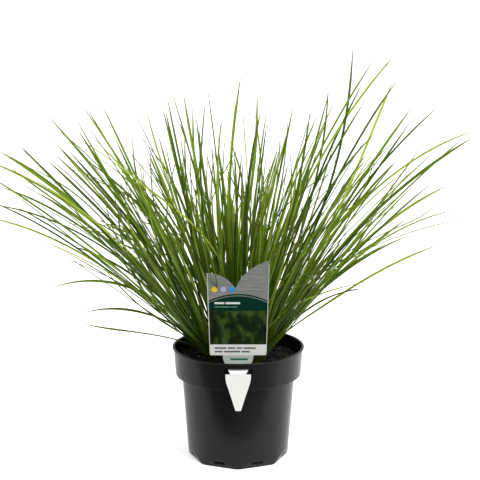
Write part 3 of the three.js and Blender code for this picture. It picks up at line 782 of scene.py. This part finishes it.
def leaf_straps(cell, leaves, chosen, random):
    """All the leaves of a tiller as [leaf, ring, point round it, xyz], with the numbers that colour them.

    A leaf's line goes from the tiller's place to the middle and tip lines named by its row, and bows a
    little. Its section is a V, raised at the edges by the fold, over a keeled underside. The first, as
    many as are chosen, turn their faces to the front, and the last, the fine leaves, bow more.
    """
    count = len(leaves)
    facing = (np.arange(count) < chosen)[:, None]
    fine = (np.arange(count) >= count - FINE_LEAVES)[:, None]
    middle_lean, middle_azimuth, tip_lean, tip_azimuth, length, turn, width = leaves.T[:, :, None]
    share = np.linspace(0, 1, LEAF_RINGS) ** 0.85
    along = LEAF_START + (length - LEAF_START) * share
    own = spread(along) / spread(length)
    late = (along / length) ** 2
    lean = middle_lean + (tip_lean - middle_lean) * late
    lean = cell["root"] + (lean - cell["root"]) * own
    azimuth = middle_azimuth + (tip_azimuth - middle_azimuth) * late
    azimuth = cell["azimuth"] + (azimuth - cell["azimuth"]) * own
    centre = fan_point(lean, azimuth, along)
    tangent = np.gradient(centre, axis=1)
    tangent /= np.linalg.norm(tangent, axis=-1, keepdims=True)
    level = np.stack([-np.sin(middle_azimuth), np.cos(middle_azimuth), 0 * middle_azimuth], axis=-1)
    side = level - tangent * (level * tangent).sum(-1, keepdims=True)
    side /= np.linalg.norm(side, axis=-1, keepdims=True)
    upper = np.cross(tangent, side)
    bows = random.normal(0, 1, (3, count, 1)) * np.reshape(BOWS, (3, 1, 1)) * length
    bows = bows * np.where(fine, FINE_BOW, 1)
    arch = np.sin(math.pi * share)
    centre += side * (bows[0] * arch + bows[2] * np.sin(2 * math.pi * share))[..., None]
    centre += upper * (bows[1] * arch)[..., None]
    twist = turn * along / TURN_LENGTH * random.uniform(1, 2.2, (count, 1))
    to_front = np.arctan2(side @ TO_VIEWER, upper @ TO_VIEWER)
    to_front = np.where(to_front > math.pi / 2, to_front - math.pi, to_front)
    to_front = np.where(to_front < -math.pi / 2, to_front + math.pi, to_front)
    faced = FACED * facing * smoothstep(along, *FACED_FROM)
    twist = twist * (1 - faced) - to_front * faced
    side, upper = (
        side * np.cos(twist)[..., None] + upper * np.sin(twist)[..., None],
        upper * np.cos(twist)[..., None] - side * np.sin(twist)[..., None],
    )
    blunt = random.random((count, 1)) < BLUNT_SHARE
    point = np.clip((length - along) / POINT_LENGTH, 0, 1) ** 0.7
    half = random.uniform(*HALF_WIDTHS, (count, 1))
    half = np.where(facing, 0.1 + half * 0.85, half)
    half = half * width * (ROOT_WIDTH + (1 - ROOT_WIDTH) * smoothstep(along, 5, 60))
    half = half * (1 - NARROWING * share ** 3) * np.where(blunt, np.maximum(point, BLUNT_END), point)
    fold = ROOT_FOLD + (OPEN_FOLD - ROOT_FOLD) * smoothstep(along, 10, 75)
    closed = np.ones((LEAF_RINGS, 1))
    closed[[0, -1]] = 0
    x = half[..., None] * ACROSS * closed
    raised = (half * fold)[..., None] * np.abs(ACROSS) * closed
    keel = (1 - EDGE_THINNING * np.abs(ACROSS)) * BELOW
    thick = np.minimum(LEAF_THICKNESS, half * 0.5)[..., None] * keel * closed
    across, up = x[..., None], (raised - thick)[..., None]
    points = centre[:, :, None] + side[:, :, None] * across + upper[:, :, None] * up
    every = np.ones((count, LEAF_RINGS, len(ACROSS)))
    colours = dict(
        across=ACROSS * every,
        along=along[..., None] * every,
        from_tip=(length - along)[..., None] * every,
        tone=random.random((count, 1, 1)) * every,
        dry=np.where(blunt, 1, random.random((count, 1)) ** 3)[..., None] * every,
    )
    return points, colours


# The sheath is the core of a tiller's foot, from its hole in the mix up to where the leaves part.

SHEATH_ACROSS = 4.4
SHEATH_DEPTH = 3.1
SHEATH_POINTS = 16
SHEATH_ALONG = np.array([-12, -12, -8, -3, 0, 4, 9, 14, 19, 24, 28, 31, 31.5])
SHEATH_SIZE = np.array([0, 0.8, 0.85, 0.95, 1, 1.02, 1, 0.96, 0.9, 0.82, 0.7, 0.5, 0])
SHEATH_TONE = 0.35
FAR_FROM_TIP = 300


def sheath(cell):
    """Ribbed ovals up the tiller's own line, straight down in the mix, and drawn in towards the top."""
    centre = fan_point(cell["root"], cell["azimuth"], np.maximum(SHEATH_ALONG, 0))
    centre[:, 2] += np.minimum(SHEATH_ALONG, 0)
    turn = np.arange(SHEATH_POINTS) / SHEATH_POINTS * 2 * math.pi
    ribs = 1 + 0.07 * np.cos(5 * turn)
    side = np.array([-math.sin(cell["azimuth"]), math.cos(cell["azimuth"]), 0])
    inwards = np.array([-math.cos(cell["azimuth"]), -math.sin(cell["azimuth"]), 0])
    across = (SHEATH_ACROSS * ribs * np.cos(turn))[:, None] * side
    deep = (SHEATH_DEPTH * ribs * np.sin(turn))[:, None] * inwards
    points = centre[:, None] + SHEATH_SIZE[:, None, None] * (across + deep)
    every = np.ones(points.shape[:2])
    return points, dict(
        across=np.cos(2.5 * turn) * every,
        along=SHEATH_ALONG[:, None] * every,
        from_tip=FAR_FROM_TIP * every,
        tone=SHEATH_TONE * every,
        dry=0 * every,
    )


def leaf_green():
    """Olive green to lime by each leaf's tone, straw at the root, with fine veins and some dry tips, and
    painted shade: darker towards the clump's base and near-black at the foot.
    """
    finish = Finish("leaf_green", IOR=1.4, Specular_IOR_Level=0.25, Subsurface_Weight=0.1)
    finish.shader.inputs["Subsurface Scale"].default_value = 0.002
    finish.shader.inputs["Subsurface Radius"].default_value = (0.7, 1.0, 0.15)
    tone, across, along, from_tip, dry = (
        finish.attribute(name) for name in ("tone", "across", "along", "from_tip", "dry")
    )
    patch = finish.noise(finish.stretched(finish.place, 1, 1, 0.5), 22, 3)
    green = finish.ramp(
        tone * 0.8 + patch * 0.4,
        (0.15, (0.009, 0.028, 0.001)),
        (0.42, (0.032, 0.084, 0.002)),
        (0.68, (0.092, 0.185, 0.005)),
        (0.86, (0.23, 0.35, 0.014)),
        (1.0, (0.42, 0.54, 0.07)),
    )
    veins = (across * 19).maths("SINE", across * 19)
    green = finish.mixed((veins * 0.5 + 0.5) * 0.1, green, (0.28, 0.38, 0.05))
    rib = 1 - across.maths("ABSOLUTE", across).clamped(0.0, 0.16)
    green = finish.mixed(rib * 0.25, green, (0.3, 0.4, 0.06))
    # Painted shade: the leaves darken towards the clump's base, where the crowded clump shades them.
    green = finish.mixed((1 - along.clamped(20, 170)) * 0.5, green, (0.018, 0.05, 0.002))
    root = 1 - along.clamped(8, 40)
    green = finish.mixed(root * 0.4, green, (0.13, 0.15, 0.03))
    # Painted shade: the leaves' and sheaths' feet by the mix turn near-black brown, where the rim and the
    # clump shade them.
    foot = 1 - along.clamped(0, 16)
    green = finish.mixed(foot * 0.85, green, (0.03, 0.022, 0.01))
    brown = (1 - from_tip.clamped(2, 14)) * dry.clamped(0.45, 0.6)
    yellow = (1 - from_tip.clamped(5, 90)) * 0.4
    green = finish.mixed(yellow, green, (0.3, 0.34, 0.04))
    finish.feed(Base_Color=finish.mixed(brown, green, (0.17, 0.1, 0.045)))
    finish.feed(Roughness=0.36 + patch * 0.22)
    finish.bumped(veins, 0.00006)
    return finish


cells = tiller_cells()
leaf_finish = leaf_green()
strap_points = LEAF_RINGS * len(ACROSS)
strap_faces = grid_faces(LEAF_RINGS, len(ACROSS)).reshape(-1, 4)
for number, cell in enumerate(cells):
    random = np.random.default_rng(FINE_SEED + number)
    leaves = np.vstack([tiller_leaves(number, cells), fine_leaves(cell, random)])
    chosen = len(chosen_leaves(number, cells))
    straps, colours = leaf_straps(cell, leaves, chosen, random)
    foot, foot_colours = sheath(cell)
    faces = np.arange(len(leaves))[:, None, None] * strap_points + strap_faces
    foot_faces = len(leaves) * strap_points + grid_faces(*foot.shape[:2])
    node = f"tiller_{number + 1:02d}"
    add_piece(
        node + "_leaves",
        np.concatenate([straps.reshape(-1, 3), foot.reshape(-1, 3)]),
        np.concatenate([faces.reshape(-1, 4), foot_faces.reshape(-1, 4)]),
        [leaf_finish], "leaf", [node], smooth_below=38,
        **{name: np.concatenate([colours[name].ravel(), foot_colours[name].ravel()]) for name in colours},
    )

# Plant label: a strip of thin printed plastic. Its tongue hangs outside the collar, its stem goes in
# through the slit, and its card stands behind the rim, with two shoulders and a notch cut in its top.
# A row of the stem is its half width, its distance in front of the axis and its height.

CARD_THICKNESS = 0.6
CARD_FRONT = 62.5
CARD_LEAN = 3.04
CARD_FOOT = 127.6
CARD_FOOT_HALF = 29
CARD_TOP_HALF = 32
CARD_TOP = 226
LEFT_TOP = 213
LEFT_SHOULDER = (-14, LEFT_TOP)
NOTCH = (-2.5, 197)
RIGHT_SHOULDER = (5, 218)
STEM = [
    [2.6, 69.2, 70], [3.1, 69.2, 71], [7.6, 69.15, 85.5], [12.2, 69.1, 100],
    [12.9, 69.05, 104], [13.1, 69, 108.0], [13.0, 69, 108.9], [7.5, 69, 109.0],
    [8.1, 68.85, 109.6], [8.6, 68.6, 110.2], [9.1, 68.05, 110.9], [9.6, 67.4, 111.6],
    [9.9, 66.85, 112.1], [10.2, 66.2, 112.7], [10.5, 65.6, 113.5], [10.8, 64.9, 114.4],
    [11.5, 64.2, 115.7], [12.4, 63.6, 117], [13.4, 63.15, 119], [14.6, 62.8, 121],
    [15.4, 62.6, 124], [15.8, CARD_FRONT, CARD_FOOT - 0.1],
]
CARD_ROWS = 40
LABEL_COLUMNS = 66


def curve_top(x):
    """The height of the card's cut top over x: two quadratic curves that meet in the notch."""
    left = np.array([(-CARD_TOP_HALF, LEFT_TOP), LEFT_SHOULDER, NOTCH])
    right = np.array([NOTCH, RIGHT_SHOULDER, (CARD_TOP_HALF, CARD_TOP)])
    t = np.linspace(0, 1, 60)[:, None]
    outline = np.vstack([curved(*left, t), curved(*right, t)])
    return np.interp(x, outline[:, 0], outline[:, 1])


def make_label():
    """The strip as one closed grid, [row, column, xyz]: its front, and then its back from right to left.

    Rows go up the stem and the card, and each is its half width times even shares from -1 to 1, with one
    more share at the notch.
    """
    share = np.append(np.linspace(-1, 1, LABEL_COLUMNS - 1), NOTCH[0] / CARD_TOP_HALF)
    share.sort()
    stem = np.array(STEM)
    height = stem[:, 2:] + 0 * share
    half = stem[:, :1] + 0 * share
    front = stem[:, 1:2] + 0 * share
    up = np.linspace(0, 1, CARD_ROWS)[:, None]
    foot_corner = 0.5 * (1 - smoothstep(up, 0, 0.02))
    card_half = CARD_FOOT_HALF + (CARD_TOP_HALF - CARD_FOOT_HALF) * up - foot_corner
    top = curve_top(share * CARD_TOP_HALF)
    card_height = CARD_FOOT + (top - CARD_FOOT) * up
    card_front = CARD_FRONT - CARD_LEAN * smoothstep(card_height, CARD_FOOT, CARD_TOP + 60)
    half = np.vstack([half, card_half + 0 * share])
    height = np.vstack([height, card_height])
    front = np.vstack([front, card_front])
    x = half * share
    centre = np.stack([x, -front, height], axis=-1)
    along = np.gradient(centre, axis=0)
    along[..., 0] = 0
    along /= np.maximum(np.linalg.norm(along, axis=-1, keepdims=True), 1e-9)
    out = np.cross(np.array([1.0, 0, 0]), along) * CARD_THICKNESS / 2
    ring = np.concatenate([centre + out, (centre - out)[:, ::-1]], axis=1)
    ends = [ring[0], ring[-1]]
    caps = [np.concatenate([end[:LABEL_COLUMNS], end[:LABEL_COLUMNS][::-1]]) for end in ends]
    return np.concatenate([caps[0][None], ring, caps[1][None]])


HILL_TOP = 191.85
HILL_BEND = 0.0078
HILL_LINE = (189.4, 190.2)
FIELD_TOP = 174.2
STRIP_TOP = 138.9
STEM_TOP = 127.5
TONGUE_TOP = 112.5
BORDER = 0.7
STEM_BAR = (-8, 10, 122.4, 124.3)
MARK_LEVEL = 196.4
MARKS = [(-24, (0.75, 0.5, 0.02)), (-15, (0.36, 0.36, 0.55)), (-6, (0.02, 0.25, 0.6))]
PALE_INK, GREEN_INK, DARK_INK = (0.6, 0.66, 0.6), (0.12, 0.3, 0.2), (0.06, 0.07, 0.07)
BARS = [
    (181.2, 183.2, PALE_INK, [(-24, -14), (-12.6, 2)]),
    (177.9, 178.7, GREEN_INK, [(-24, -9), (-8, -1)]),
    (134.3, 135.9, DARK_INK, [(-24, -12), (-10.5, -3), (-1.5, 4), (5.5, 18)]),
    (130.5, 132.1, DARK_INK, [(-24, -16), (-14.5, 2), (3.5, 12)]),
]


def label_print():
    """A generic design: a silver-grey top with three marks, a dark green hill, a soft field and a strip.

    The hill's edge is a parabola. Bars stand for the lines of words, each [low, high, ink, its words].
    """
    finish = Finish("label_print", IOR=1.45, Specular_IOR_Level=0.12)
    x = finish.node("SeparateXYZ", {}, {"Vector": finish.place}, 0) * 1000
    z = finish.node("SeparateXYZ", {}, {"Vector": finish.place}, 2) * 1000

    def above(value, level, soft=0.3):
        return value.clamped(level - soft, level + soft)

    def between(value, low, high):
        return above(value, low) * (1 - above(value, high))

    brushed = finish.noise(finish.stretched(finish.place, 0.08, 1, 1), 900, 3)
    silver = finish.ramp(brushed, (0.3, (0.14, 0.147, 0.134)), (0.7, (0.24, 0.249, 0.23)))
    blades = finish.noise(finish.stretched(finish.place, 1, 1, 0.45), 190, 2)
    clumps = finish.noise(finish.place, 48, 2)
    field = finish.ramp(
        blades * 0.35 + clumps * 0.65 + z.clamped(STRIP_TOP, FIELD_TOP) * 0.06,
        (0.4, (0.0012, 0.005, 0.001)),
        (0.52, (0.006, 0.018, 0.0025)),
        (0.62, (0.034, 0.068, 0.012)),
    )
    hill = z + x * x * HILL_BEND
    colour = finish.mixed(above(hill, HILL_TOP, 0.25), (0.0, 0.022, 0.014), silver)
    colour = finish.mixed(between(hill, *HILL_LINE), colour, silver)
    colour = finish.mixed(1 - above(z, FIELD_TOP), colour, field)
    colour = finish.mixed(1 - above(z, STRIP_TOP), colour, (0.6, 0.61, 0.59))
    for low, high, ink, words in BARS:
        for start, end in words:
            colour = finish.mixed(between(x, start, end) * between(z, low, high), colour, ink)
    for middle, ink in MARKS:
        dot = (x - middle) * (x - middle) + (z - MARK_LEVEL) * (z - MARK_LEVEL)
        colour = finish.mixed(1 - dot.clamped(7, 9.5), colour, ink)
    # The stem's grey-green is partly the print's tint and partly painted shade, darker than the tongue
    # below and the strip above.
    colour = finish.mixed(1 - above(z, STEM_TOP, 0.1), colour, (0.38, 0.42, 0.38))
    stem_bar = between(x, *STEM_BAR[:2]) * between(z, *STEM_BAR[2:])
    colour = finish.mixed(stem_bar, colour, (0.01, 0.07, 0.04))
    colour = finish.mixed(1 - above(z, TONGUE_TOP, 0.5), colour, (0.85, 0.85, 0.83))
    widening = (CARD_TOP_HALF - CARD_FOOT_HALF) / (CARD_TOP - CARD_FOOT)
    off_edge = CARD_FOOT_HALF + (z - CARD_FOOT) * widening - x.maths("ABSOLUTE", x)
    border = (1 - above(off_edge, BORDER, 0.2)) * z.clamped(CARD_FOOT - 0.2, CARD_FOOT)
    colour = finish.mixed(border, colour, (0.48, 0.5, 0.48))
    finish.feed(Base_Color=colour)
    finish.feed(Roughness=0.34 + brushed * 0.15)
    return finish


def label_plastic():
    """The plain off-white plastic of the label's back and edges."""
    finish = Finish("label_plastic", IOR=1.5)
    cloud = finish.noise(finish.place, 60, 3)
    finish.feed(Base_Color=finish.ramp(cloud, (0.3, (0.6, 0.61, 0.59)), (0.7, (0.68, 0.68, 0.66))))
    finish.feed(Roughness=0.35 + cloud * 0.2)
    return finish


label_points = make_label()
label_faces = grid_faces(*label_points.shape[:2])
printed = (np.arange(2 * LABEL_COLUMNS) >= LABEL_COLUMNS - 1) + np.zeros((len(label_points) - 1, 1))
add_piece(
    "plant_label_strip", label_points, label_faces, [label_print(), label_plastic()], "label_card",
    ["plant_label"], smooth_below=50, face_finish=printed,
)

# Studio: a plain white floor that ends a hand's width in front of the pot, outside the view. It glows, and
# more so to the camera, so that no shadow shows on it. White light comes from the back, the sides and
# above, less from the front and the left, and one large soft lamp stands at the upper right.

FLOOR_REACH = 30
FLOOR_FRONT = -0.118
FLOOR_DROP = 0.0001
FLOOR_GLOW = 0.5
SHARE_TO_PLANT = 0.68
GLOW_ALL_ROUND = 0.3
GLOW_BEHIND = 0.62
LESS_FAR_BEHIND = 0.25
GLOW_ABOVE = 0.5
GLOW_RIGHT = 0.27
KEY_PLACE = (0.95, -1.15, 1.7)
KEY_AIM = (0, 0, 0.22)
KEY_SIZE = 0.8
KEY_POWER = 43

corners = np.array([[-1, 0, 0], [1, 0, 0], [1, 1, 0], [-1, 1, 0]]) * FLOOR_REACH
floor_mesh = bpy.data.meshes.new("floor")
floor_mesh.from_pydata(corners + [0, FLOOR_FRONT, -FLOOR_DROP], [], [[0, 1, 2, 3]])
floor = bpy.data.objects.new("floor", floor_mesh)
bpy.context.scene.collection.objects.link(floor)
floor_finish = Finish("floor_white", Base_Color=(0.9, 0.9, 0.9, 1), Roughness=0.8, Specular_IOR_Level=0.2)
to_camera = floor_finish.node("LightPath", output=0)
to_plant = (SHARE_TO_PLANT,) * 3
floor_finish.feed(Emission_Color=floor_finish.mixed(to_camera, to_plant, (1, 1, 1)))
floor_finish.shader.inputs["Emission Strength"].default_value = FLOOR_GLOW
floor_mesh.materials.append(floor_finish.material)

world = bpy.data.worlds.new("studio")
world.use_nodes = True
bpy.context.scene.world = world
sky = Nodes(world.node_tree)
way = sky.node("TexCoord", output=0)
rightward = sky.node("SeparateXYZ", {}, {"Vector": way}, 0)
forward = sky.node("SeparateXYZ", {}, {"Vector": way}, 1)
upward = sky.node("SeparateXYZ", {}, {"Vector": way}, 2)
glow = GLOW_ALL_ROUND + upward.clamped(0.2, 1.0) * GLOW_ABOVE + rightward * GLOW_RIGHT
glow = glow + forward.clamped(-0.85, 0.1) * GLOW_BEHIND - forward.clamped(0.3, 1.0) * LESS_FAR_BEHIND
seen = sky.node("LightPath", output=0)
background = sky.tree.nodes["Background"]
background.inputs["Color"].default_value = (1, 1, 1, 1)
sky.tree.links.new((seen + (1 - seen) * glow).socket, background.inputs["Strength"])

key = bpy.data.lights.new("key", "AREA")
key.shape = "DISK"
key.size = KEY_SIZE
key.energy = KEY_POWER
lamp = bpy.data.objects.new("key", key)
lamp.location = KEY_PLACE
aim = np.subtract(KEY_AIM, KEY_PLACE)
lamp.rotation_euler = (math.acos(-aim[2] / np.linalg.norm(aim)), 0, math.atan2(aim[0], -aim[1]) + math.pi)
bpy.context.scene.collection.objects.link(lamp)
bpy.context.scene.view_settings.view_transform = "Standard"
